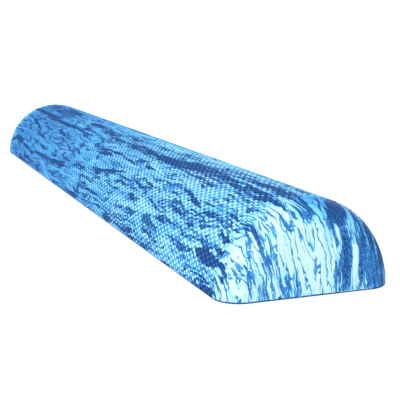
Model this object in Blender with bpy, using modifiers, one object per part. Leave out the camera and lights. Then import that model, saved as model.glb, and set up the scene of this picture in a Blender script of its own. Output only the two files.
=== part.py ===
"""Half round foam roller, 36 in long, moulded in one piece from marbled EVA foam.

The body is half of a round roller that lies on its flat side. A meridian profile, from
one end face to the other, is spun half a turn about the long axis in the base plane.
The profile holds the large rounding at each end, which also rounds the corners of the
base, and the low step where the embossed field of the round side gives way to the
smooth ends. The flat base and the end faces close the shape, and a small radius breaks
the rim of the base.

Metres, +Z up, length along X. The origin is the middle of the flat base.
Run it with: blender --background --python part.py
"""

import math

import bmesh
import bpy

# Overall sizes of the roller
LENGTH = 0.9144
RADIUS = 0.0762

# Rounding between the round side and each end face
END_ROUNDING = 0.0215

# Radius along the rim of the flat base
BASE_EDGE_RADIUS = 0.0012

# Embossed field of the round side: where it stops, how far it stands above the smooth
# skin, and the length of the slope that takes it down
FIELD_MARGIN = 0.0185
FIELD_RISE = 0.0003
FIELD_SLOPE = 0.0006

# Facets: round the half turn, along each end rounding, along the straight length, and
# across the radius of the base rim
ARC_STEPS = 72
ROUNDING_STEPS = 10
LENGTH_BAYS = 10
BASE_EDGE_STEPS = 3

HALF_TURN = math.pi
RIGHT_ANGLE = math.pi / 2

COLLECTION_NAME = "half_round_foam_roller"
BODY_NAME = "foam_body"

# The marbled blue, as one average colour in linear light
FOAM_COLOUR = (0.118, 0.402, 0.812, 1.0)
FOAM_ROUGHNESS = 0.62
FOAM_METALLIC = 0.0


def clear_scene():
    """Remove every object that the open file holds."""
    for item in list(bpy.data.objects):
        bpy.data.objects.remove(item, do_unlink=True)


def foam_material():
    """Matte closed-cell foam in its average blue."""
    material = bpy.data.materials.new("marbled_eva_foam")
    material.use_nodes = True
    shader = material.node_tree.nodes["Principled BSDF"]
    shader.inputs["Base Color"].default_value = FOAM_COLOUR
    shader.inputs["Roughness"].default_value = FOAM_ROUGHNESS
    shader.inputs["Metallic"].default_value = FOAM_METALLIC
    material.diffuse_color = FOAM_COLOUR
    return material


def rounding_drop(from_end):
    """How far the end rounding lies below the straight skin at this distance from the end."""
    into_rounding = max(END_ROUNDING - from_end, 0.0)
    return END_ROUNDING - math.sqrt(END_ROUNDING**2 - into_rounding**2)


def end_stations():
    """Distances from the end face at which the end rounding is faceted, face first."""
    angles = (RIGHT_ANGLE * step / ROUNDING_STEPS for step in range(ROUNDING_STEPS + 1))
    return [END_ROUNDING * (1.0 - math.cos(angle)) for angle in angles]


def half_profile():
    """Points of the profile from the end face to the last station before the middle.

    Each point is its distance from the end face and its radius from the long axis.
    The field starts after the margin, one slope higher than the smooth skin.
    """
    field_start = FIELD_MARGIN + FIELD_SLOPE
    straight = LENGTH / 2 - max(END_ROUNDING, field_start)
    bay = straight / (LENGTH_BAYS / 2)
    middle = [LENGTH / 2 - bay * step for step in range(LENGTH_BAYS // 2, 0, -1)]
    stations = end_stations() + [station for station in middle if station > END_ROUNDING]

    smooth_radius = RADIUS - FIELD_RISE
    smooth = [station for station in stations if station < FIELD_MARGIN] + [FIELD_MARGIN]
    raised = [field_start] + [station for station in stations if station > field_start]
    points = [(station, smooth_radius - rounding_drop(station)) for station in smooth]
    points += [(station, RADIUS - rounding_drop(station)) for station in raised]
    return points


def full_profile():
    """Points (x, radius) from the far end face, over the length, to the near one."""
    half = half_profile()
    far = [(from_end - LENGTH / 2, radius) for from_end, radius in half]
    near = [(LENGTH / 2 - from_end, radius) for from_end, radius in reversed(half)]
    return far + near


def spin_round_side(mesh):
    """Spin the profile half a turn about X, from the +Y rim of the base to the -Y rim."""
    points = [mesh.verts.new((x, radius, 0.0)) for x, radius in full_profile()]
    edges = [mesh.edges.new(pair) for pair in zip(points, points[1:])]
    bmesh.ops.spin(
        mesh,
        geom=points + edges,
        cent=(0.0, 0.0, 0.0),
        axis=(1.0, 0.0, 0.0),
        angle=HALF_TURN,
        steps=ARC_STEPS,
    )


def close_flat_faces(mesh):
    """Fill the two end faces and then the base, each as one flat face."""
    tolerance = BASE_EDGE_RADIUS / 10
    for end in (-LENGTH / 2, LENGTH / 2):
        arc = [edge for edge in mesh.edges if all(abs(v.co.x - end) < tolerance for v in edge.verts)]
        bmesh.ops.contextual_create(mesh, geom=arc)
    rim = [edge for edge in mesh.edges if edge.is_boundary]
    bmesh.ops.contextual_create(mesh, geom=rim)
    bmesh.ops.recalc_face_normals(mesh, faces=mesh.faces)


def mark_base_rim(mesh):
    """Give the rim of the base the bevel weight that its small radius follows."""
    weight = mesh.edges.layers.float.new("bevel_weight_edge")
    tolerance = BASE_EDGE_RADIUS / 10
    for edge in mesh.edges:
        if all(abs(vertex.co.z) < tolerance for vertex in edge.verts):
            edge[weight] = 1.0


def build_body(collection):
    """The foam body: round side, flat base, end faces and the radius of the base rim."""
    mesh = bmesh.new()
    spin_round_side(mesh)
    close_flat_faces(mesh)
    mark_base_rim(mesh)
    data = bpy.data.meshes.new(BODY_NAME)
    mesh.to_mesh(data)
    mesh.free()
    data.shade_smooth()
    data.set_sharp_from_angle(angle=math.radians(40))
    data.materials.append(foam_material())

    body = bpy.data.objects.new(BODY_NAME, data)
    collection.objects.link(body)
    rim = body.modifiers.new("base_rim", "BEVEL")
    rim.limit_method = "WEIGHT"
    rim.offset_type = "OFFSET"
    rim.width = BASE_EDGE_RADIUS
    rim.segments = BASE_EDGE_STEPS
    rim.use_clamp_overlap = False
    return body


def main():
    """Build the roller in a collection of its own."""
    clear_scene()
    collection = bpy.data.collections.new(COLLECTION_NAME)
    bpy.context.scene.collection.children.link(collection)
    build_body(collection)


main()
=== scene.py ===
"""Half round foam roller: the marbled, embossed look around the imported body.

The body's round side is one sheet of embossed cells, arrayed flat and wrapped over the half round.
The smooth ends, the flat base and its rim grow out of the sheet's edges, so it is one closed foam
skin. The marbling follows a UV map that runs along the roller and drapes down its ends.
"""

import math

import bmesh
import bpy
from mathutils import Matrix, Vector


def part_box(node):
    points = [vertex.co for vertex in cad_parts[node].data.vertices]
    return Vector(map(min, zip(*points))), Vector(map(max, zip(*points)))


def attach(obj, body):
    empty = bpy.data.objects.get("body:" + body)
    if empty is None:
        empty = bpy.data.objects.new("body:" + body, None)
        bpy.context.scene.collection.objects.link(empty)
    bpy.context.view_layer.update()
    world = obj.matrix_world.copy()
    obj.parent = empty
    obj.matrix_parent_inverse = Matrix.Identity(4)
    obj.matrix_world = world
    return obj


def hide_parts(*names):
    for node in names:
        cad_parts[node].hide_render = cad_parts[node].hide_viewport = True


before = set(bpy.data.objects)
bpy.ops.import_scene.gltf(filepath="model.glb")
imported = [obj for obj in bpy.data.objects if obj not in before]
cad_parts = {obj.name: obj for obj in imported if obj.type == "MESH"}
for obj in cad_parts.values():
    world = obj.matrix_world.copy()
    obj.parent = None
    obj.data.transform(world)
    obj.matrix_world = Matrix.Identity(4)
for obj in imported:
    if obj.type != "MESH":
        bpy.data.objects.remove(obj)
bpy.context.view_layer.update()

MM = 0.001

# Sizes that come from the frame, in metres
NODE = "foam_body"
node_low, node_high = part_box(NODE)
HALF_LENGTH = (node_high[0] - node_low[0]) / 2
TOP_RADIUS = node_high[2]

# Embossing: pitch of the rows of pips round the arc, and each pip's outline and height
PIP_PITCH = 5.62 * MM
PIP_ROWS = math.ceil(math.pi * TOP_RADIUS / PIP_PITCH) + 2
CELL_CORNER = PIP_PITCH / math.sqrt(3)
COLUMN_PITCH = CELL_CORNER * 3
PIP_FOOT_MARGIN = 0.35 * MM
PIP_WALL = 1.10 * MM
PIP_RISE = 0.31 * MM
PIP_CROWN = 0.11 * MM

# Smooth skin between and beside the pips, and the steps in which it goes round each end
SKIN_RADIUS = TOP_RADIUS - PIP_RISE - PIP_CROWN
FIELD_MARGIN = 18.5 * MM
FIELD_SLOPE = 0.5 * MM
END_ROUNDING = 21.5 * MM
ROUNDING_STEPS = 14
LEAST_STEP = 1 * MM
RIM_RADIUS = 1.2 * MM
RIM_STEPS = 4
BASE_BORDER = 1.5 * MM
BASE_BAYS = 24
END_GRID = 2.8 * MM

# Distances within which points merge, count as lying on a plane, or snap to a cut
MERGE_DISTANCE = 0.02 * MM
PLANE_DISTANCE = 0.005 * MM
SNAP_DISTANCE = 0.01 * MM

# Marbling map: along the roller from its middle, on down its ends, and round it from the front rim.
# Beyond the start of the stretch its lengths count for more, so streaks are shorter
STRETCH_START = 425 * MM
END_STRETCH = 0.5

# Zones of the map. Each ramp is where it starts and stops, and its value at both. Lengths along the
# roller are from the middle, towards the near end or towards both alike
END_ZONE = (440 * MM, 480 * MM, 0.0, 1.0)
NEAR_ZONE = (-350 * MM, 280 * MM, 0.0, 1.0)
FAR_ZONE = (-150 * MM, -400 * MM, 0.0, 1.0)

# Bends of the streaks: push, the length and width over which it changes, noise layer and detail.
# They are calmer at the ends and in the far part, and streaks lean sideways down the near end
SWAY = (22 * MM, 140 * MM, 45 * MM, 3.1, 2.0)
WAVE = (10 * MM, 28 * MM, 15 * MM, 7.7, 2.0)
JAG = (2.6 * MM, 6 * MM, 4.5 * MM, 11.3, 1.0)
SLIP = (60 * MM, 60 * MM, 10 * MM, 17.9, 2.0)
CALM_ENDS = (420 * MM, 450 * MM, 1.0, 0.80)
CALM_FAR = (-400 * MM, -150 * MM, 0.65, 1.0)
LEAN = (445 * MM, 540 * MM, 0.0, 18 * MM)

# Layers of streaks: weight, length, width, noise layer, detail and roughness. The fine ones have
# one weight in the middle of the field and one outwards, and are weaker far off and on the ends
BROAD_STREAKS = [
    (0.25, 170 * MM, 22 * MM, 21.0, 2.0, 0.50),
    (0.40, 110 * MM, 6.0 * MM, 23.0, 3.0, 0.55),
]
FINE_STREAKS = [
    (0.65, 0.70, 60 * MM, 2.8 * MM, 27.0, 2.0, 0.55),
    (0.62, 0.22, 34 * MM, 1.7 * MM, 29.0, 2.0, 0.55),
    (0.00, 0.60, 45 * MM, 4.6 * MM, 33.0, 2.0, 0.50),
]
OUTER_FAR = (-200 * MM, -360 * MM, 0.0, 1.0)
OUTER_NEAR = (360 * MM, 440 * MM, 0.0, 1.0)
FINE_ALONG = (-350 * MM, 150 * MM, 0.8, 1.0)
FINE_ENDS = (430 * MM, 470 * MM, 1.0, 0.90)

# Tones at which streaks turn mid blue and navy, and their shifts at the ends, near and far
MID_EDGE = (0.066, 0.080, 0.0, 1.0)
MID_SHIFTS = (0.008, -0.007, -0.018)
NAVY_EDGE = (0.100, 0.116, 0.0, 1.0)
NAVY_SHIFTS = (-0.15, 0.0, 0.022)

# Light foam: the streaks that it wanders by, the painted shade on the crest before the ends, and
# where the ends turn pale, which is later on the crest
LIGHT_STREAK = (70 * MM, 9 * MM, 41.0, 2.0, 0.5)
LIGHT_WANDER = 0.45
CREST = (100 * MM, 122 * MM, 0.0, 1.0)
CREST_ENDS = (422 * MM, 438 * MM, 0.0, 1.0)
CREST_PAINTED_SHADE = -0.20
PALE_DELAY = (90 * MM, 125 * MM, 0.0, 30 * MM)
PALE_ENDS = (410 * MM, 455 * MM, 0.0, 1.0)

# Fringe that darkens the light foam beside a streak, more so on the ends
FRINGE_EDGE = (-0.035, 0.015, 0.0, 1.0)
FRINGE_ENDS = (0.0, 1.0, 0.09, 0.15)

# Thin mid blue lines, wider towards the near end and kept out of the light patches
LINE_STREAK = (70 * MM, 8 * MM, 31.0, 3.0, 0.5)
LINE_NEAR = (300 * MM, 380 * MM, 1.0, 0.55)
LINE_GAP = (-0.12, -0.24, 0.0, 0.03)
LINE_EDGE = (0.016, 0.008, 0.0, 1.0)
LINE_STRENGTH = 0.8

# Navy veins, broken by a second layer, wider in the far part and gone before the near end
VEIN_STREAK = (64 * MM, 13 * MM, 37.0, 2.0, 0.5)
VEIN_FAR = -0.3
VEIN_EDGE = (0.034, 0.022, 0.0, 1.0)
BREAK_STREAK = (34 * MM, 10 * MM, 53.0, 2.0, 0.5)
BREAK_EDGE = (-0.02, 0.02, 0.0, 1.0)
VEIN_NEAR = (425 * MM, 445 * MM, 0.85, 0.0)

# Painted highlight on the pips' tops and painted shade between, less so far off, in navy foam and
# on the crest. A relief is a share of a pip's height, and the mean one leaves the tone as it is
MEAN_RELIEF = 0.4
PIP_TOP_PAINTED_LIGHT = -0.045
SWING_ALONG = (-400 * MM, 200 * MM, 0.29, 0.50)
SWING_DEPTH = (0.0, 0.5, 0.58, 1.0)
SWING_CREST = (118 * MM, 140 * MM, 1.0, 0.35)
SWING_ENDS = (431 * MM, 438.5 * MM, 1.0, 0.0)

# Frost, a fine speckle that is weaker in light foam and in the field
FROST_STREAK = (2.6 * MM, 2.0 * MM, 47.0, 2.0, 0.6)
FROST_DEPTH = (0.45, 0.8, 1.40, 0.25)
FROST_ENDS = (0.0, 1.0, 0.25, 1.0)

# Prominent streaks and patches on the marbling map, each an ellipse in mm: along, around, half
# length, half width, tilt and strength, which is below zero for a light one
PATCH_GAIN = 1.15
PATCHES = [
    # Along the crest and behind it. The dark strips behind it are painted shade where the top turns
    # away
    (350, 147, 100, 8.0, 0.02, 0.14),
    (190, 149, 70, 8.0, -0.02, 0.09),
    (-40, 147, 110, 7.0, 0.02, 0.12),
    (-180, 150, 90, 9.0, -0.02, 0.12),
    (-340, 147, 110, 8.0, 0.01, 0.13),
    (170, 126, 300, 9.0, 0.0, -0.11),
    (-260, 130, 150, 6.0, 0.0, -0.07),
    # Near part of the field
    (412, 28, 26, 6.5, 0.0, 0.50),
    (446, 30, 16, 3.0, 0.15, 0.24),
    (205, 95, 75, 8.5, 0.05, 0.18),
    (190, 117, 45, 3.0, 0.0, 0.12),
    (240, 112, 50, 3.0, 0.0, 0.12),
    (285, 102, 62, 8.0, 0.0, 0.18),
    (385, 97, 65, 8.5, -0.03, 0.17),
    (300, 116, 90, 1.6, -0.01, 0.13),
    (330, 121, 90, 1.5, -0.01, 0.13),
    (230, 124, 70, 1.5, 0.0, 0.11),
    (290, 88, 50, 1.6, 0.0, 0.12),
    (350, 84, 60, 1.6, -0.03, 0.12),
    (390, 114, 60, 6.0, 0.0, 0.09),
    (340, 112, 100, 4.0, 0.0, 0.10),
    (100, 110, 60, 3.0, 0.0, 0.12),
    (245, 74, 34, 2.2, -0.03, 0.17),
    (175, 75, 26, 2.0, 0.0, 0.12),
    (309, 69, 18, 2.6, -0.10, 0.19),
    (335, 64, 20, 2.6, -0.15, 0.17),
    (392, 59, 50, 4.5, -0.05, 0.09),
    (203, 40, 22, 3.6, -0.04, 0.18),
    (170, 47, 50, 3.0, 0.0, 0.08),
    (315, 50, 28, 2.2, -0.06, 0.15),
    (291, 35, 20, 2.4, 0.0, 0.18),
    (356, 45, 18, 3.4, 0.0, 0.12),
    (406, 46, 34, 6.0, -0.03, 0.09),
    (350, 25, 5, 2.0, 0.0, 0.20),
    (260, 20, 14, 2.0, -0.05, 0.12),
    (200, 23, 45, 1.8, -0.03, 0.12),
    (180, 9, 40, 6.0, -0.05, 0.05),
    (220, 5, 30, 5.0, 0.0, 0.07),
    (268, 4, 26, 4.0, 0.10, 0.12),
    (425, 3, 18, 5.0, 0.0, 0.20),
    (356, 76, 88, 9.0, -0.02, -0.12),
    (215, 83, 60, 5.0, 0.0, -0.08),
    (296, 44, 26, 5.0, 0.0, -0.10),
    (346, 15, 46, 12.0, 0.0, -0.10),
    (255, 14, 30, 4.0, -0.10, -0.10),
    (190, 30, 45, 5.0, 0.0, -0.05),
    # Middle part
    (-98, 29, 22, 6.0, 0.10, 0.15),
    (-132, 28, 34, 3.4, 0.04, 0.20),
    (-150, 36, 22, 3.0, -0.05, 0.13),
    (-120, 105, 40, 6.0, 0.0, 0.18),
    (-105, 90, 50, 2.0, 0.0, 0.16),
    (-105, 83, 50, 2.0, 0.0, 0.16),
    (-134, 65, 20, 2.0, 0.0, 0.16),
    (-30, 101, 45, 3.5, 0.0, 0.15),
    (20, 94, 50, 3.5, 0.0, 0.15),
    (112, 94, 50, 7.0, 0.0, 0.13),
    (30, 70, 30, 6.0, 0.0, 0.09),
    (56, 75, 32, 1.8, 0.0, 0.18),
    (121, 73, 38, 1.8, 0.0, 0.16),
    (85, 51, 40, 2.6, 0.14, 0.22),
    (145, 53, 22, 2.0, 0.0, 0.14),
    (-21, 40, 36, 6.0, 0.0, 0.08),
    (8, 14, 8, 7.0, 0.0, 0.14),
    (-18, 5, 40, 2.6, 0.0, 0.22),
    (66, 21, 30, 1.8, 0.02, 0.18),
    (138, 6, 22, 5.0, 0.0, 0.14),
    # Far part
    (-385, 88, 60, 5.0, -0.02, 0.18),
    (-300, 86, 66, 7.0, -0.02, 0.17),
    (-200, 84, 72, 4.4, 0.0, 0.24),
    # Painted shade: a dark band all round the far end's rounding, where it turns away
    (-449, 76, 9, 90.0, 0.0, 0.10),
    (-350, 66, 28, 3.0, -0.12, 0.24),
    (-305, 60, 22, 2.4, -0.1, 0.20),
    (-262, 66, 34, 1.8, 0.0, 0.18),
    (-415, 26, 24, 3.0, 0.25, 0.24),
    (-378, 31, 34, 5.5, -0.08, 0.26),
    (-318, 26, 34, 2.6, -0.03, 0.24),
    (-272, 22, 14, 3.0, 0.0, 0.24),
    (-205, 27, 60, 2.6, 0.02, 0.24),
    (-222, 38, 28, 3.0, -0.1, 0.18),
    (-249, 50, 36, 2.0, -0.04, 0.16),
    (-180, 68, 30, 3.4, -0.08, 0.16),
    (-307, 12, 20, 2.6, -0.1, 0.20),
    (-280, 5, 12, 1.6, 0.0, 0.20),
    (-330, 112, 110, 15.0, 0.0, 0.11),
    # Near end, down its rounding and face
    (457, 142, 19, 11.5, 0.0, 0.30),
    (450, 146, 14, 7.0, 0.3, 0.14),
    (464, 138, 16, 7.0, -0.3, 0.14),
    (449, 128, 14, 1.4, -0.1, 0.22),
    (497, 149, 27, 6.0, 0.0, 0.22),
    (498, 157.5, 15, 2.9, 0.0, -0.24),
    (452, 155, 16, 1.6, 0.15, -0.32),
    (490, 166, 26, 5.5, 0.0, 0.22),
    (451, 160, 14, 2.6, 0.0, 0.34),
    (447, 167, 12, 1.8, 0.25, -0.30),
    (457, 176, 20, 7.0, 0.1, 0.32),
    (450, 183, 12, 1.8, 0.3, -0.20),
    (457, 191, 22, 7.0, 0.2, 0.30),
    (456, 206, 20, 9.0, 0.2, 0.30),
    (458, 224, 22, 12.0, 0.0, 0.26),
    (490, 196, 28, 8.0, 0.2, 0.24),
    (488, 180, 24, 8.0, 0.1, 0.16),
    (458, 99, 20, 8.5, 0.0, 0.08),
    (458, 114, 22, 8.0, 0.0, 0.11),
    (455, 62, 15, 2.2, -0.08, 0.12),
    (460, 69, 14, 2.6, 0.1, 0.13),
    (474, 79.5, 20, 2.4, 0.15, 0.15),
    (492, 86, 10, 2.0, 0.3, 0.10),
    (484, 73, 14, 2.0, 0.3, 0.12),
    (498, 84, 18, 3.4, 0.2, 0.07),
    (452, 25, 5, 2.5, 0.2, 0.20),
    (480, 175, 60, 48.0, 0.0, 0.04),
    (500, 112, 34, 18.0, 0.0, -0.09),
    (482, 88, 32, 5.0, 0.0, -0.14),
    (470, 44, 34, 11.0, 0.2, -0.12),
    (463, 45, 18, 9.0, 0.3, -0.10),
    (462, 41, 17, 1.5, 0.3, 0.24),
    (466, 46, 20, 1.2, 0.35, 0.24),
    (462, 50, 17, 1.4, 0.3, 0.24),
    (484, 53, 26, 2.4, 0.3, 0.11),
    (500, 61, 24, 2.8, 0.2, 0.13),
    (497, 47, 22, 2.6, 0.2, 0.13),
]

# Painted shade round the rim of the base, where it turns under towards the floor, and how high it goes
RIM_PAINTED_SHADE = 0.40
RIM_PAINTED_SHADE_TOP = 0.8 * RIM_RADIUS

# Tones of the foam from navy to pale: place on the scale, and colour in linear light
FOAM_TONES = [
    (0.00, (0.0120, 0.052, 0.200, 1.0)),
    (0.18, (0.0270, 0.124, 0.370, 1.0)),
    (0.36, (0.0620, 0.255, 0.595, 1.0)),
    (0.52, (0.0600, 0.352, 0.880, 1.0)),
    (0.68, (0.112, 0.540, 0.950, 1.0)),
    (0.84, (0.275, 0.750, 0.950, 1.0)),
    (1.00, (0.635, 0.910, 0.940, 1.0)),
]
SPECK_COLOUR = (0.016, 0.068, 0.26, 1.0)

# Places of each kind of foam on that scale: navy, and mid and light foam in the field and at the ends
NAVY_TONE = 0.07
END_NAVY_LIFT = 0.07
MID_TONE = 0.23
END_MID_TONE = 0.29
# Light foam in the field goes paler from far to near: painted light that falls off along the roller
FAR_TONE = 0.52
NEAR_TONE = 0.78
END_TONE = 1.03

# Skin of the foam: noise detail and roughness, pores in units of the grain, patches of roughness,
# and specks, which fade over this share of their spacing. Specular is low, and pips are smoother
SKIN_NOISE = (3.0, 0.6)
PORE_SCALE = 0.5
PORE_EDGE = (0.0, 0.35)
PORE_DEPTH = 0.35
ROUGH_PATCH = 9 * MM
ROUGH_SPREAD = (0.3, 0.7)
SPECK_SPACING = 22 * MM
SPECK_EDGE = (0.06, 0.045)
FOAM_SPECULAR = 0.03
PIP_POLISH = 0.06

# Finishes: name, grain size, bump depth, lowest and highest roughness, and whether it has pips
FINISHES = [
    ("embossed_foam", 0.5 * MM, 0.03 * MM, 0.56, 0.72, True),
    ("smooth_end_foam", 0.7 * MM, 0.03 * MM, 0.54, 0.70, False),
    ("base_foam", 0.9 * MM, 0.05 * MM, 0.60, 0.74, False),
]

# Places of the end and base finishes in that list, and the normal below which a face is the base
END_FINISH = 1
BASE_FINISH = 2
BASE_NORMAL_Z = -0.999

# Photographer's camera
CAMERA_PLACE = Vector((1.0764, -0.3373, 0.2109))
CAMERA_YAW = 2.7677
CAMERA_PITCH = 0.1898
CAMERA_ROLL = 0.0022
LENS_MM = 83.89
SENSOR_MM = 36.0
CLIP_START = 10 * MM

# Lamps as place, aim, size and power, then the fill light and the white backdrop
KEY_LAMP = (Vector((3.0, -3.0, 2.94)), Vector((0.25, 0.0, 0.04)), 1.4, 182.0)
BACK_LAMP = (Vector((-1.2, 1.9, 0.8)), Vector((0.0, 0.0, 0.0)), 1.2, 32.0)
FILL_COLOUR = (0.97, 0.98, 1.0, 1.0)
FILL_LEVEL = 0.53
BACKDROP_COLOUR = (1.0, 1.0, 1.0, 1.0)

# Floor, and the ramp of its glow outwards from under the roller
FLOOR_SIZE = 8.0
FLOOR_DROP = 0.4 * MM
FLOOR_COLOUR = (0.80, 0.80, 0.80, 1.0)
FLOOR_GLOW_COLOUR = (0.94, 0.94, 1.0, 1.0)
FLOOR_GLOW = (0.6, 1.8, 0.58, 1.0)


def deselect():
    """Leave edit mode and clear the selection."""
    if bpy.context.object and bpy.context.object.mode != "OBJECT":
        bpy.ops.object.mode_set(mode="OBJECT")
    bpy.ops.object.select_all(action="DESELECT")


def work_on(piece):
    """Make one piece the only selected and active one."""
    deselect()
    piece.select_set(True)
    bpy.context.view_layer.objects.active = piece


def edit(piece, kind):
    """Enter edit mode on one piece, to select this kind of element, with nothing selected."""
    work_on(piece)
    bpy.ops.object.mode_set(mode="EDIT")
    bpy.ops.mesh.select_mode(type=kind)
    bpy.ops.mesh.select_all(action="DESELECT")


def apply_modifiers(piece):
    """Apply every modifier of a piece in order."""
    work_on(piece)
    for modifier in list(piece.modifiers):
        bpy.ops.object.modifier_apply(modifier=modifier.name)


# Embossed sheet, flat: X along the roller, Y round the arc, Z the height above the skin


def pip_cell():
    """One hexagonal cell with its pip, modelled from a six-sided disc."""
    deselect()
    bpy.ops.mesh.primitive_circle_add(
        vertices=6, radius=CELL_CORNER, fill_type="NGON", rotation=(0, 0, math.pi / 6)
    )
    cell = bpy.context.object
    cell.name = "foam_roller_body"
    bpy.ops.object.transform_apply(location=True, rotation=True, scale=True)
    bpy.ops.object.mode_set(mode="EDIT")
    bpy.ops.mesh.select_mode(type="FACE")
    bpy.ops.mesh.select_all(action="SELECT")
    bpy.ops.mesh.inset(thickness=PIP_FOOT_MARGIN, depth=0)
    bpy.ops.mesh.inset(thickness=PIP_WALL, depth=PIP_RISE)
    bpy.ops.mesh.poke(offset=PIP_CROWN)
    bpy.ops.object.mode_set(mode="OBJECT")
    return cell


def array(piece, name, count, offset):
    """Add a merged array along one offset."""
    modifier = piece.modifiers.new(name, "ARRAY")
    modifier.count = count
    modifier.use_relative_offset = False
    modifier.use_constant_offset = True
    modifier.constant_offset_displace = offset
    modifier.use_merge_vertices = True
    modifier.merge_threshold = MERGE_DISTANCE


def cut(piece, point, normal):
    """Cut the whole sheet at a plane and clear what lies beyond it."""
    edit(piece, "FACE")
    bpy.ops.mesh.select_all(action="SELECT")
    bpy.ops.mesh.bisect(plane_co=point, plane_no=normal, use_fill=False, clear_outer=True)
    bpy.ops.object.mode_set(mode="OBJECT")


def embossed_sheet():
    """The flat field of pips, trimmed to a rectangle that is centred on X and starts at Y = 0."""
    sheet = pip_cell()
    half_field = HALF_LENGTH - FIELD_MARGIN
    pairs = math.ceil(2 * half_field / COLUMN_PITCH) + 2
    array(sheet, "rows", PIP_ROWS, (0, PIP_PITCH, 0))
    array(sheet, "stagger", 2, (COLUMN_PITCH / 2, PIP_PITCH / 2, 0))
    array(sheet, "columns", pairs, (COLUMN_PITCH, 0, 0))
    apply_modifiers(sheet)
    sheet.data.transform(Matrix.Translation((-pairs * COLUMN_PITCH / 2, -PIP_PITCH, 0)))
    edit(sheet, "VERT")
    bpy.ops.mesh.select_all(action="SELECT")
    bpy.ops.mesh.remove_doubles(threshold=MERGE_DISTANCE)
    bpy.ops.object.mode_set(mode="OBJECT")
    low = RIM_RADIUS + FIELD_SLOPE
    high = math.pi * TOP_RADIUS - low
    cut(sheet, (half_field, 0, 0), (1, 0, 0))
    cut(sheet, (-half_field, 0, 0), (-1, 0, 0))
    cut(sheet, (0, low, 0), (0, -1, 0))
    cut(sheet, (0, high, 0), (0, 1, 0))
    return sheet, half_field, low, high


def grow_border(mesh, chosen, move):
    """Extrude the chosen border edges and place each new vertex by a rule."""
    border = [edge for edge in mesh.edges if edge.is_boundary]
    edges = [edge for edge in border if all(chosen(vertex.co) for vertex in edge.verts)]
    grown = bmesh.ops.extrude_edge_only(mesh, edges=edges)["geom"]
    for vertex in (item for item in grown if isinstance(item, bmesh.types.BMVert)):
        vertex.co = move(vertex.co)


def on_plane(value, target):
    """Whether a coordinate lies on the plane where it has this value."""
    return abs(value - target) < PLANE_DISTANCE


def smooth_borders(sheet, half_field, low, high):
    """Run the sheet down to the smooth skin all round, then on over both end roundings."""
    mesh = bmesh.new()
    mesh.from_mesh(sheet.data)
    for edge_y, outward in ((low, -1), (high, 1)):
        grow_border(
            mesh,
            lambda co: on_plane(co.y, edge_y),
            lambda co: Vector((co.x, edge_y + outward * FIELD_SLOPE, 0)),
        )
    rounding_start = HALF_LENGTH - END_ROUNDING
    run = END_ROUNDING * math.pi / 2
    field_end = half_field + FIELD_SLOPE - rounding_start
    start = rounding_start + END_ROUNDING * math.asin(field_end / END_ROUNDING)
    stations = [rounding_start + run * step / ROUNDING_STEPS for step in range(ROUNDING_STEPS + 1)]
    stations = [start] + [station for station in stations if station > start + LEAST_STEP]
    for side in (-1, 1):
        border = half_field
        for station in stations:
            grow_border(
                mesh,
                lambda co: on_plane(co.x, side * border),
                lambda co: Vector((side * station, co.y, 0)),
            )
            border = station
    mesh.to_mesh(sheet.data)
    mesh.free()


def section(along):
    """Place along the skin's meridian: X, radius, and the outward direction in that plane."""
    start = HALF_LENGTH - END_ROUNDING
    side = math.copysign(1, along)
    turn = max(abs(along) - start, 0) / END_ROUNDING
    lean, rise = math.sin(turn), math.cos(turn)
    x = min(abs(along), start) + END_ROUNDING * lean
    radius = SKIN_RADIUS - END_ROUNDING * (1 - rise)
    return side * x, radius, side * lean, rise


def drape(place):
    """Marbling coordinates of a place on the skin: along the roller and down its ends, and round it."""
    x, y, z = place
    y = max(-SKIN_RADIUS, min(SKIN_RADIUS, y))
    crown = math.sqrt(SKIN_RADIUS**2 - y**2)
    along = x + math.copysign(crown - z, x)
    return along, SKIN_RADIUS * math.acos(-y / SKIN_RADIUS)


def wrap(sheet):
    """Wrap the flat sheet over the half round and its end roundings, and write its marbling map."""
    mesh = bmesh.new()
    mesh.from_mesh(sheet.data)
    grain = mesh.loops.layers.uv.new("grain")
    height = mesh.verts.layers.float.new("pip_height")
    drapes = {}
    for vertex in mesh.verts:
        along, around, rise = vertex.co
        x, radius, lean, up = section(along)
        foot = math.asin(RIM_RADIUS / radius)
        share = (around - RIM_RADIUS) / (math.pi * TOP_RADIUS - 2 * RIM_RADIUS)
        angle = foot + share * (math.pi - 2 * foot)
        skin = Vector((x, -radius * math.cos(angle), radius * math.sin(angle)))
        drapes[vertex.index] = drape(skin)
        outward = Vector((lean, -up * math.cos(angle), up * math.sin(angle)))
        vertex.co = skin + outward * rise
        vertex[height] = rise / (PIP_RISE + PIP_CROWN)
    for face in mesh.faces:
        for loop in face.loops:
            loop[grain].uv = drapes[loop.vert.index]
    mesh.to_mesh(sheet.data)
    mesh.free()


def cut_face(mesh, geom, point, normal):
    """Cut a flat face's geometry at a plane, and give what it is made of afterwards."""
    halves = bmesh.ops.bisect_plane(
        mesh, geom=geom, dist=SNAP_DISTANCE, plane_co=point, plane_no=normal
    )
    return halves["geom"]


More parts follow.
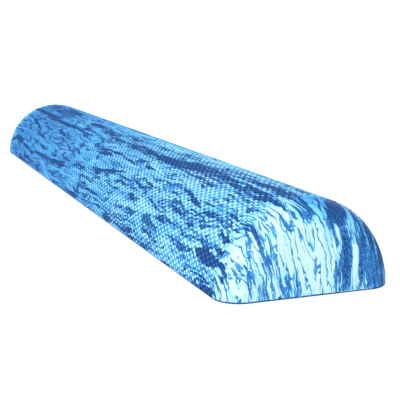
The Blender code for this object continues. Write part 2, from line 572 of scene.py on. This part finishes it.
def close_end(mesh, grain, side):
    """Fill one end face and cut it into a grid, so that the marbling map has points to follow."""
    border = [edge for edge in mesh.edges if edge.is_boundary]
    x = side * HALF_LENGTH
    rim = [edge for edge in border if all(on_plane(vertex.co.x, x) for vertex in edge.verts)]
    corners = {vertex for edge in rim for vertex in edge.verts}
    feet = [vertex for vertex in corners if sum(edge in rim for edge in vertex.link_edges) == 1]
    bottom = mesh.edges.new(feet)
    face = bmesh.ops.contextual_create(mesh, geom=rim + [bottom])["faces"][0]
    geom = [face, *face.edges, *face.verts]
    count = math.ceil((SKIN_RADIUS - END_ROUNDING) / END_GRID)
    planes = [((0, step * END_GRID, 0), (0, 1, 0)) for step in range(-count, count + 1)]
    planes += [((0, 0, RIM_RADIUS + step * END_GRID), (0, 0, 1)) for step in range(1, count + 1)]
    for point, normal in planes:
        geom = cut_face(mesh, geom, point, normal)
    for face in (item for item in geom if isinstance(item, bmesh.types.BMFace)):
        for loop in face.loops:
            loop[grain].uv = drape(loop.vert.co)


def rim_ring(co, turn, inset=0.0):
    """A rim vertex moved to this turn of the rim's radius, square to the outline of the base."""
    inner_x = HALF_LENGTH - END_ROUNDING
    inner_y = SKIN_RADIUS - END_ROUNDING
    inner = Vector((max(-inner_x, min(inner_x, co.x)), max(-inner_y, min(inner_y, co.y))))
    outward = (co.xy - inner).normalized()
    place = inner + outward * (END_ROUNDING - RIM_RADIUS * (1 - math.cos(turn)) - inset)
    return Vector((*place, RIM_RADIUS * (1 - math.sin(turn))))


def close_base(mesh, grain):
    """Take the bottom edge round the rim's radius, fill the flat base and cut it into bays."""
    below = set(mesh.faces)
    for step in range(1, RIM_STEPS + 1):
        turn = step / RIM_STEPS * math.pi / 2
        grow_border(mesh, lambda co: True, lambda co: rim_ring(co, turn))
    grow_border(mesh, lambda co: True, lambda co: rim_ring(co, math.pi / 2, BASE_BORDER))
    rim = [edge for edge in mesh.edges if edge.is_boundary]
    base = bmesh.ops.contextual_create(mesh, geom=rim)["faces"][0]
    geom = [base, *base.edges, *base.verts]
    for bay in range(1, BASE_BAYS):
        x = HALF_LENGTH * (2 * bay / BASE_BAYS - 1)
        geom = cut_face(mesh, geom, (x, 0, 0), (1, 0, 0))
    for face in set(mesh.faces) - below:
        for loop in face.loops:
            x, y, z = loop.vert.co
            loop[grain].uv = (x, -SKIN_RADIUS - y)


def close_body(piece):
    """Close both ends and the base."""
    mesh = bmesh.new()
    mesh.from_mesh(piece.data)
    grain = mesh.loops.layers.uv["grain"]
    for side in (-1, 1):
        close_end(mesh, grain, side)
    close_base(mesh, grain)
    bmesh.ops.recalc_face_normals(mesh, faces=mesh.faces)
    mesh.to_mesh(piece.data)
    mesh.free()


def patch_at(along, around):
    """Sum of the listed patches at a place on the marbling map."""
    total = 0.0
    for patch_along, patch_around, half_length, half_width, tilt, strength in PATCHES:
        lengthways = (along / MM - patch_along) / half_length
        across = (around / MM - patch_around - tilt * (along / MM - patch_along)) / half_width
        inside = 1 - lengthways**2 - across**2
        if inside > 0:
            total += strength * inside * (2 - inside)
    return total


def lay_patches(piece):
    """Write the patches to a vertex attribute, at each vertex's place on the marbling map, with painted
    shade on the rim of the base.
    """
    mesh = bmesh.new()
    mesh.from_mesh(piece.data)
    patch = mesh.verts.layers.float.new("patch")
    grain = mesh.loops.layers.uv["grain"]
    for vertex in mesh.verts:
        shade = RIM_PAINTED_SHADE if 0 < vertex.co.z < RIM_PAINTED_SHADE_TOP else 0.0
        vertex[patch] = patch_at(*vertex.link_loops[0][grain].uv) + shade
    mesh.to_mesh(piece.data)
    mesh.free()


def finish_faces(piece, materials):
    """Smooth shading, and one material each for the field, the smooth ends and the base."""
    for material in materials:
        piece.data.materials.append(material)
    field_end = HALF_LENGTH - FIELD_MARGIN + FIELD_SLOPE
    for face in piece.data.polygons:
        face.use_smooth = True
        if face.normal.z < BASE_NORMAL_Z:
            face.material_index = BASE_FINISH
        elif abs(face.center.x) > field_end:
            face.material_index = END_FINISH


def roller_body():
    """The whole foam skin as one closed mesh, with its marbling map."""
    sheet, half_field, low, high = embossed_sheet()
    smooth_borders(sheet, half_field, low, high)
    wrap(sheet)
    close_body(sheet)
    lay_patches(sheet)
    return sheet


# Shader node trees


class Tree:
    """A node tree with short calls for the nodes that the foam uses."""

    def __init__(self, tree):
        self.tree = tree

    def node(self, kind, **settings):
        """A new node with these settings."""
        node = self.tree.nodes.new(kind)
        for key, value in settings.items():
            setattr(node, key, value)
        return node

    def feed(self, node, key, value):
        """Link a socket to an input, or set the input to a constant."""
        if isinstance(value, bpy.types.NodeSocket):
            self.tree.links.new(value, node.inputs[key])
        elif value is not None:
            node.inputs[key].default_value = value

    def math(self, operation, *values):
        """The result of one operation."""
        node = self.node("ShaderNodeMath", operation=operation)
        for index, value in enumerate(values):
            self.feed(node, index, value)
        return node.outputs[0]

    def product(self, *values):
        """Values multiplied together."""
        total = values[0]
        for value in values[1:]:
            total = self.math("MULTIPLY", total, value)
        return total

    def ramp(self, value, low, high, to_low=0.0, to_high=1.0):
        """Map a value between two levels, clamped at both."""
        node = self.node("ShaderNodeMapRange")
        for index, item in enumerate((value, low, high, to_low, to_high)):
            self.feed(node, index, item)
        return node.outputs[0]

    def mix(self, factor, first, second):
        """Go from the first colour to the second by a factor.

        A mix node has sockets of each kind under the same names, so they go by index.
        """
        node = self.node("ShaderNodeMix", data_type="RGBA")
        for index, item in ((0, factor), (6, first), (7, second)):
            self.feed(node, index, item)
        return node.outputs[2]

    def blend(self, factor, first, second):
        """Go from the first value to the second by a factor."""
        node = self.node("ShaderNodeMix", data_type="FLOAT")
        for index, item in ((0, factor), (2, first), (3, second)):
            self.feed(node, index, item)
        return node.outputs[0]

    def noise(self, vector, detail, roughness):
        """Noise at a place, from 0 to 1."""
        node = self.node("ShaderNodeTexNoise")
        self.feed(node, "Vector", vector)
        self.feed(node, "Scale", 1.0)
        self.feed(node, "Detail", detail)
        self.feed(node, "Roughness", roughness)
        return node.outputs[0]

    def cells(self, vector, scale):
        """Distance from the centre of the nearest cell."""
        node = self.node("ShaderNodeTexVoronoi")
        self.feed(node, "Vector", vector)
        self.feed(node, "Scale", scale)
        return node.outputs["Distance"]

    def in_units(self, vector, size):
        """A place in units of this size."""
        node = self.node("ShaderNodeVectorMath", operation="SCALE")
        self.feed(node, 0, vector)
        self.feed(node, "Scale", self.math("DIVIDE", 1.0, size))
        return node.outputs[0]

    def group(self, tree, **values):
        """The outputs of a group that is given these values."""
        node = self.node("ShaderNodeGroup", node_tree=tree)
        for key, value in values.items():
            self.feed(node, key.replace("_", " "), value)
        return node.outputs


def new_group(name, inputs, outputs):
    """A shader group: its inputs as name, kind and value, and its outputs as name and kind."""
    group = bpy.data.node_groups.new(name, "ShaderNodeTree")
    for title, kind, value in inputs:
        item = group.interface.new_socket(name=title, in_out="INPUT", socket_type="NodeSocket" + kind)
        if value is not None:
            item.default_value = value
    for title, kind in outputs:
        group.interface.new_socket(name=title, in_out="OUTPUT", socket_type="NodeSocket" + kind)
    tree = Tree(group)
    given = tree.node("NodeGroupInput").outputs
    result = tree.node("NodeGroupOutput")
    return group, tree, given, result


def streak_group():
    """Noise drawn out along the roller, by a streak's length and width."""
    inputs = [
        ("Along", "Float", 0.0),
        ("Around", "Float", 0.0),
        ("Length", "Float", 0.1),
        ("Width", "Float", 0.01),
        ("Layer", "Float", 0.0),
        ("Detail", "Float", 2.0),
        ("Roughness", "Float", 0.5),
    ]
    group, tree, given, result = new_group("foam streaks", inputs, [("Tone", "Float")])
    place = tree.node("ShaderNodeCombineXYZ")
    tree.feed(place, 0, tree.math("DIVIDE", given["Along"], given["Length"]))
    tree.feed(place, 1, tree.math("DIVIDE", given["Around"], given["Width"]))
    tree.feed(place, 2, given["Layer"])
    tone = tree.noise(place.outputs[0], given["Detail"], given["Roughness"])
    tree.feed(result, "Tone", tree.math("SUBTRACT", tone, 0.5))
    return group


class Marbling(Tree):
    """Layers of the foam's marbling: bent, drawn-out streaks in navy and mid blue on light foam.

    A tone says how much dark foam there is at a place, and a depth is the place on the scale of
    the foam's tones that comes of it.
    """

    def __init__(self, tree, streaks, marble_map):
        super().__init__(tree)
        self.streaks = streaks
        split = self.node("ShaderNodeSeparateXYZ")
        self.feed(split, 0, marble_map)
        along, self.around = split.outputs[0], split.outputs[1]
        self.from_middle = self.math("ABSOLUTE", along)
        beyond = self.math("MAXIMUM", self.math("SUBTRACT", self.from_middle, STRETCH_START), 0.0)
        stretch = self.math("MULTIPLY", self.math("SIGN", along), END_STRETCH)
        self.along = self.math("MULTIPLY_ADD", beyond, stretch, along)
        self.end = self.ramp(self.from_middle, *END_ZONE)
        self.near = self.ramp(self.along, *NEAR_ZONE)
        self.far = self.ramp(self.along, *FAR_ZONE)
        self.bend_places()

    def bent(self, coordinate, bend, share=None):
        """A coordinate with one bend, at full push or at a share of it."""
        push, length, width, layer, detail = bend
        if share is not None:
            push = self.math("MULTIPLY", share, push)
        tone = self.group(
            self.streaks,
            Along=self.along,
            Around=self.around,
            Length=length,
            Width=width,
            Layer=layer,
            Detail=detail,
        )["Tone"]
        return self.math("MULTIPLY_ADD", tone, push, coordinate)

    def bend_places(self):
        """Bend the map's coordinates, so that every streak takes the same turns."""
        calm = self.product(self.ramp(self.from_middle, *CALM_ENDS), self.ramp(self.along, *CALM_FAR))
        waved = self.bent(self.bent(self.around, SWAY), WAVE, calm)
        jagged = self.bent(waved, JAG, calm)
        self.bent_around = self.math("SUBTRACT", jagged, self.ramp(self.along, *LEAN))
        self.bent_along = self.bent(self.along, SLIP)

    def streak(self, length, width, layer, detail, roughness):
        """Tone of one layer of streaks."""
        return self.group(
            self.streaks,
            Along=self.bent_along,
            Around=self.bent_around,
            Length=length,
            Width=width,
            Layer=layer,
            Detail=detail,
            Roughness=roughness,
        )["Tone"]

    def dark_tone(self, patch, relief):
        """Patches, broad streaks, fine streaks and a little less on the pips' tops, a painted
        highlight.
        """
        tone = self.math("MULTIPLY", patch, PATCH_GAIN)
        for weight, *shape in BROAD_STREAKS:
            tone = self.math("MULTIPLY_ADD", self.streak(*shape), weight, tone)
        along, ends = self.ramp(self.along, *FINE_ALONG), self.ramp(self.from_middle, *FINE_ENDS)
        fineness = self.product(along, ends)
        tone = self.math("MULTIPLY_ADD", relief, self.product(fineness, PIP_TOP_PAINTED_LIGHT), tone)
        far, near = self.ramp(self.along, *OUTER_FAR), self.ramp(self.along, *OUTER_NEAR)
        outer = self.math("MAXIMUM", far, near)
        for middle_weight, outer_weight, *shape in FINE_STREAKS:
            weight = self.product(fineness, self.blend(outer, middle_weight, outer_weight))
            tone = self.math("MULTIPLY_ADD", self.streak(*shape), weight, tone)
        return tone

    def light_foam(self, tone):
        """Depth of the foam between the streaks, paler towards the near end in painted light and palest
        on the ends.
        """
        depth = self.math("MULTIPLY_ADD", self.near, NEAR_TONE - FAR_TONE, FAR_TONE)
        depth = self.math("MULTIPLY_ADD", self.streak(*LIGHT_STREAK), LIGHT_WANDER, depth)
        # Painted shade on the crest before the ends
        crest = self.product(self.ramp(self.around, *CREST), self.ramp(self.from_middle, *CREST_ENDS))
        depth = self.math("MULTIPLY_ADD", crest, CREST_PAINTED_SHADE, depth)
        delayed = self.math("SUBTRACT", self.from_middle, self.ramp(self.around, *PALE_DELAY))
        depth = self.blend(self.ramp(delayed, *PALE_ENDS), depth, END_TONE)
        fringe = self.product(self.ramp(tone, *FRINGE_EDGE), self.ramp(self.end, *FRINGE_ENDS))
        return self.math("SUBTRACT", depth, fringe)

    def with_lines(self, depth, patch, mid):
        """Thin mid blue lines over the light foam."""
        field = self.math("ABSOLUTE", self.streak(*LINE_STREAK))
        field = self.product(field, self.ramp(self.along, *LINE_NEAR))
        field = self.math("ADD", field, self.ramp(patch, *LINE_GAP))
        return self.blend(self.product(self.ramp(field, *LINE_EDGE), LINE_STRENGTH), depth, mid)

    def with_veins(self, depth):
        """Broken navy veins over the lines."""
        field = self.math("ABSOLUTE", self.streak(*VEIN_STREAK))
        field = self.product(field, self.math("MULTIPLY_ADD", self.far, VEIN_FAR, 1.0))
        unbroken = self.ramp(self.streak(*BREAK_STREAK), *BREAK_EDGE)
        vein = self.product(self.ramp(field, *VEIN_EDGE), unbroken, self.ramp(self.along, *VEIN_NEAR))
        return self.blend(vein, depth, NAVY_TONE)

    def shifted(self, tone, at_ends, near, far):
        """A tone with its shifts in the zones of the map."""
        for zone, shift in ((self.end, at_ends), (self.near, near), (self.far, far)):
            tone = self.math("MULTIPLY_ADD", zone, shift, tone)
        return tone

    def with_streaks(self, depth, tone, mid):
        """Mid blue streaks over the rest, with navy in their middle."""
        depth = self.blend(self.ramp(self.shifted(tone, *MID_SHIFTS), *MID_EDGE), depth, mid)
        navy = self.math("MULTIPLY_ADD", self.end, END_NAVY_LIFT, NAVY_TONE)
        return self.blend(self.ramp(self.shifted(tone, *NAVY_SHIFTS), *NAVY_EDGE), depth, navy)

    def with_painted_pip_light(self, depth, relief):
        """Painted highlight on the pips' tops and painted shade between them."""
        swing = self.product(
            self.ramp(self.along, *SWING_ALONG),
            self.ramp(depth, *SWING_DEPTH),
            self.ramp(self.around, *SWING_CREST),
            self.ramp(self.from_middle, *SWING_ENDS),
        )
        return self.math("MULTIPLY_ADD", relief, swing, depth)

    def with_frost(self, depth):
        """Fine speckle over everything."""
        frost = self.product(self.ramp(depth, *FROST_DEPTH), self.ramp(self.end, *FROST_ENDS))
        return self.math("MULTIPLY_ADD", self.streak(*FROST_STREAK), frost, depth)

    def colour(self, depth):
        """The foam's colour at this depth."""
        colours = self.node("ShaderNodeValToRGB")
        self.feed(colours, 0, depth)
        scale = colours.color_ramp.elements
        scale.remove(scale[1])
        scale[0].position, scale[0].color = FOAM_TONES[0]
        for place, colour in FOAM_TONES[1:]:
            scale.new(place).color = colour
        return colours.outputs[0]


def marbling_group(streaks):
    """The foam's marbling with its painted light and shade, which gives a colour at each place on its
    map.
    """
    inputs = [("Map", "Vector", None), ("Patch", "Float", 0.0), ("Relief", "Float", MEAN_RELIEF)]
    group, tree, given, result = new_group("foam marbling", inputs, [("Color", "Color")])
    marbling = Marbling(group, streaks, given["Map"])
    relief = marbling.math("SUBTRACT", given["Relief"], MEAN_RELIEF)
    tone = marbling.dark_tone(given["Patch"], relief)
    mid = marbling.blend(marbling.end, MID_TONE, END_MID_TONE)
    depth = marbling.light_foam(tone)
    depth = marbling.with_lines(depth, given["Patch"], mid)
    depth = marbling.with_veins(depth)
    depth = marbling.with_streaks(depth, tone, mid)
    depth = marbling.with_painted_pip_light(depth, relief)
    depth = marbling.with_frost(depth)
    tree.feed(result, "Color", marbling.colour(depth))
    return group


def skin_group():
    """Fine skin of the foam: the grain's height, a wandering roughness, and sparse dark specks."""
    inputs = [
        ("Place", "Vector", None),
        ("Grain Size", "Float", 0.6 * MM),
        ("Smooth", "Float", 0.5),
        ("Rough", "Float", 0.62),
        ("Speck Spacing", "Float", SPECK_SPACING),
    ]
    outputs = [("Height", "Float"), ("Roughness", "Float"), ("Speck", "Float")]
    group, tree, given, result = new_group("foam skin", inputs, outputs)
    fine = tree.in_units(given["Place"], given["Grain Size"])
    pores = tree.ramp(tree.cells(fine, PORE_SCALE), *PORE_EDGE)
    height = tree.math("MULTIPLY_ADD", pores, PORE_DEPTH, tree.noise(fine, *SKIN_NOISE))
    tree.feed(result, "Height", height)
    broad = tree.noise(tree.in_units(given["Place"], ROUGH_PATCH), *SKIN_NOISE)
    tree.feed(result, "Roughness", tree.ramp(broad, *ROUGH_SPREAD, given["Smooth"], given["Rough"]))
    specks = tree.cells(tree.in_units(given["Place"], given["Speck Spacing"]), 1.0)
    tree.feed(result, "Speck", tree.ramp(specks, *SPECK_EDGE))
    return group


def foam_material(marbling, skin, name, grain_size, bump, smooth, rough, has_pips):
    """Marbled foam in one of its finishes."""
    material = bpy.data.materials.new(name)
    material.use_nodes = True
    material.node_tree.nodes.clear()
    tree = Tree(material.node_tree)
    marble_map = tree.node("ShaderNodeUVMap", uv_map="grain").outputs[0]
    patch = tree.node("ShaderNodeAttribute", attribute_name="patch").outputs["Fac"]
    pips = tree.node("ShaderNodeAttribute", attribute_name="pip_height").outputs["Fac"]
    place = tree.node("ShaderNodeTexCoord").outputs["Object"]
    marble = tree.group(marbling, Map=marble_map, Patch=patch, Relief=pips if has_pips else None)
    grain = tree.group(skin, Place=place, Grain_Size=grain_size, Smooth=smooth, Rough=rough)

    relief = tree.node("ShaderNodeBump")
    tree.feed(relief, "Strength", 1.0)
    tree.feed(relief, "Distance", bump)
    tree.feed(relief, "Height", grain["Height"])
    polish = tree.math("MULTIPLY", pips, PIP_POLISH)
    shader = tree.node("ShaderNodeBsdfPrincipled")
    tree.feed(shader, "Base Color", tree.mix(grain["Speck"], marble["Color"], SPECK_COLOUR))
    tree.feed(shader, "Roughness", tree.math("SUBTRACT", grain["Roughness"], polish))
    tree.feed(shader, "Specular IOR Level", FOAM_SPECULAR)
    tree.feed(shader, "Normal", relief.outputs[0])
    surface = tree.node("ShaderNodeOutputMaterial")
    tree.feed(surface, "Surface", shader.outputs[0])
    return material


def foam_materials():
    """The finishes of the one foam: embossed field, smooth ends and base."""
    marbling = marbling_group(streak_group())
    skin = skin_group()
    return [foam_material(marbling, skin, *finish) for finish in FINISHES]


# Floor, light and camera


def seen_ray(tree):
    """One for camera, glossy and transmission rays, which see the white backdrop."""
    path = tree.node("ShaderNodeLightPath").outputs
    sight = tree.math("MAXIMUM", path["Is Camera Ray"], path["Is Glossy Ray"])
    return tree.math("MAXIMUM", sight, path["Is Transmission Ray"])


def floor_material():
    """Pale floor that is seen as white but keeps the roller's shadow, and is clear from below."""
    material = bpy.data.materials.new("pale_floor")
    material.use_nodes = True
    material.node_tree.nodes.clear()
    tree = Tree(material.node_tree)
    matte = tree.node("ShaderNodeBsdfDiffuse")
    tree.feed(matte, "Color", FLOOR_COLOUR)
    glow = tree.node("ShaderNodeEmission")
    distance = tree.node("ShaderNodeVectorMath", operation="LENGTH")
    tree.feed(distance, 0, tree.node("ShaderNodeTexCoord").outputs["Object"])
    strength = tree.ramp(distance.outputs["Value"], *FLOOR_GLOW)
    tree.feed(glow, "Color", FLOOR_GLOW_COLOUR)
    tree.feed(glow, "Strength", tree.math("MULTIPLY", seen_ray(tree), strength))
    lit = tree.node("ShaderNodeAddShader")
    tree.feed(lit, 0, matte.outputs[0])
    tree.feed(lit, 1, glow.outputs[0])
    sides = tree.node("ShaderNodeMixShader")
    tree.feed(sides, 0, tree.node("ShaderNodeNewGeometry").outputs["Backfacing"])
    tree.feed(sides, 1, lit.outputs[0])
    tree.feed(sides, 2, tree.node("ShaderNodeBsdfTransparent").outputs[0])
    tree.feed(tree.node("ShaderNodeOutputMaterial"), "Surface", sides.outputs[0])
    return material


def lay_floor():
    """The floor, a hair below the base."""
    deselect()
    bpy.ops.mesh.primitive_plane_add(size=FLOOR_SIZE, location=(0, 0, -FLOOR_DROP))
    floor = bpy.context.object
    floor.name = "floor"
    bpy.ops.object.transform_apply(location=True, rotation=True, scale=True)
    floor.data.materials.append(floor_material())


def surround_scene():
    """White surroundings, which light the roller at a plain fill level."""
    world = bpy.data.worlds.new("studio")
    world.use_nodes = True
    world.node_tree.nodes.clear()
    tree = Tree(world.node_tree)
    fill = tree.node("ShaderNodeBackground")
    tree.feed(fill, "Color", FILL_COLOUR)
    tree.feed(fill, "Strength", FILL_LEVEL)
    backdrop = tree.node("ShaderNodeBackground")
    tree.feed(backdrop, "Color", BACKDROP_COLOUR)
    tree.feed(backdrop, "Strength", 1.0)
    choice = tree.node("ShaderNodeMixShader")
    tree.feed(choice, 0, seen_ray(tree))
    tree.feed(choice, 1, fill.outputs[0])
    tree.feed(choice, 2, backdrop.outputs[0])
    tree.feed(tree.node("ShaderNodeOutputWorld"), "Surface", choice.outputs[0])
    bpy.context.scene.world = world


def hang_lamp(name, place, aim, size, power):
    """A round soft lamp that faces a point."""
    light = bpy.data.lights.new(name, "AREA")
    light.shape = "DISK"
    light.size = size
    light.energy = power
    lamp = bpy.data.objects.new(name, light)
    lamp.location = place
    lamp.rotation_euler = (aim - place).to_track_quat("-Z", "Y").to_euler()
    bpy.context.scene.collection.objects.link(lamp)


def place_camera():
    """The camera at the photograph's place, heading and field of view."""
    flat = math.cos(CAMERA_PITCH)
    heading = (flat * math.cos(CAMERA_YAW), flat * math.sin(CAMERA_YAW), -math.sin(CAMERA_PITCH))
    ahead = Vector(heading)
    level_right = ahead.cross(Vector((0, 0, 1))).normalized()
    level_up = level_right.cross(ahead)
    right = math.cos(CAMERA_ROLL) * level_right + math.sin(CAMERA_ROLL) * level_up
    up = math.cos(CAMERA_ROLL) * level_up - math.sin(CAMERA_ROLL) * level_right
    data = bpy.data.cameras.new("camera")
    data.sensor_width = SENSOR_MM
    data.lens = LENS_MM
    data.clip_start = CLIP_START
    camera = bpy.data.objects.new("camera", data)
    turn = Matrix((right, up, -ahead)).transposed()
    camera.matrix_world = Matrix.Translation(CAMERA_PLACE) @ turn.to_4x4()
    bpy.context.scene.collection.objects.link(camera)
    bpy.context.scene.camera = camera


body = roller_body()
finish_faces(body, foam_materials())
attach(body, "root")
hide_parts(NODE)

lay_floor()
surround_scene()
hang_lamp("key", *KEY_LAMP)
hang_lamp("back", *BACK_LAMP)
place_camera()
bpy.context.scene.view_settings.view_transform = "Standard"
